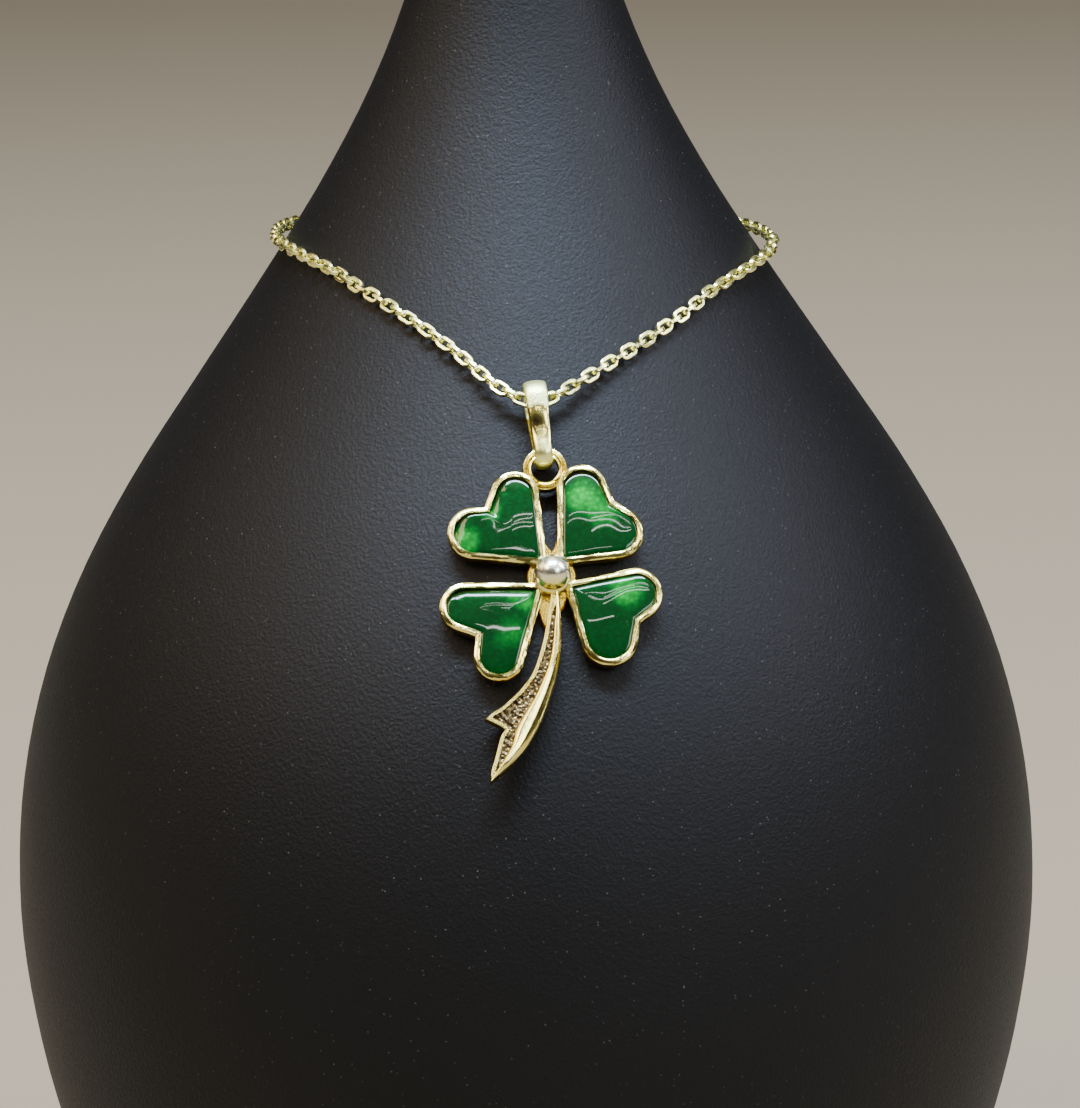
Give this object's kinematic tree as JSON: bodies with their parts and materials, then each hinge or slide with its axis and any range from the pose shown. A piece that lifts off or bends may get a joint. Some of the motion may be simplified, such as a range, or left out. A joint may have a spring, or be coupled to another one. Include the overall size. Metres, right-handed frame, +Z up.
{
  "type": "clover pendant necklace on display stand",
  "caption": "Gold and green enamel four-leaf clover pendant with a forked stem, hanging by a tapered bail from a fine cable chain closed round a matt black bottle-shaped display stand.",
  "frame": {"origin": "middle of the stand's flat base, on the surface that it stands on", "axes": "+Z up along the stand's axis, the pendant hangs on the -Y side, +X to the right as seen from the front"},
  "size_m": [0.1042, 0.1042, 0.168],
  "materials": {
    "stand_black": "matte",
    "chain_gold": "polished",
    "clover_gold": "polished",
    "enamel_green": "gloss"
  },
  "bodies": {
    "display": {"stand": "stand_black", "chain": "chain_gold", "clasp": "chain_gold"},
    "bail": {"bail": "clover_gold"},
    "clover": {"clover_frame": "clover_gold", "enamel_top_right": "enamel_green", "enamel_top_left": "enamel_green", "enamel_bottom_left": "enamel_green", "enamel_bottom_right": "enamel_green"}
  },
  "joints": [
    {"name": "bail_swing", "type": "hinge", "parent": "display", "child": "bail", "pos_m": [0.00168, -0.0332, 0.10761], "axis": [-0.9933, -0.0918, -0.0707], "range_deg": [0, 100]},
    {"name": "clover_swing", "type": "hinge", "parent": "bail", "child": "clover", "pos_m": [0.00223, -0.03577, 0.10319], "axis": [-0.9933, -0.0908, -0.0713], "range_deg": [0, 80]}
  ]
}
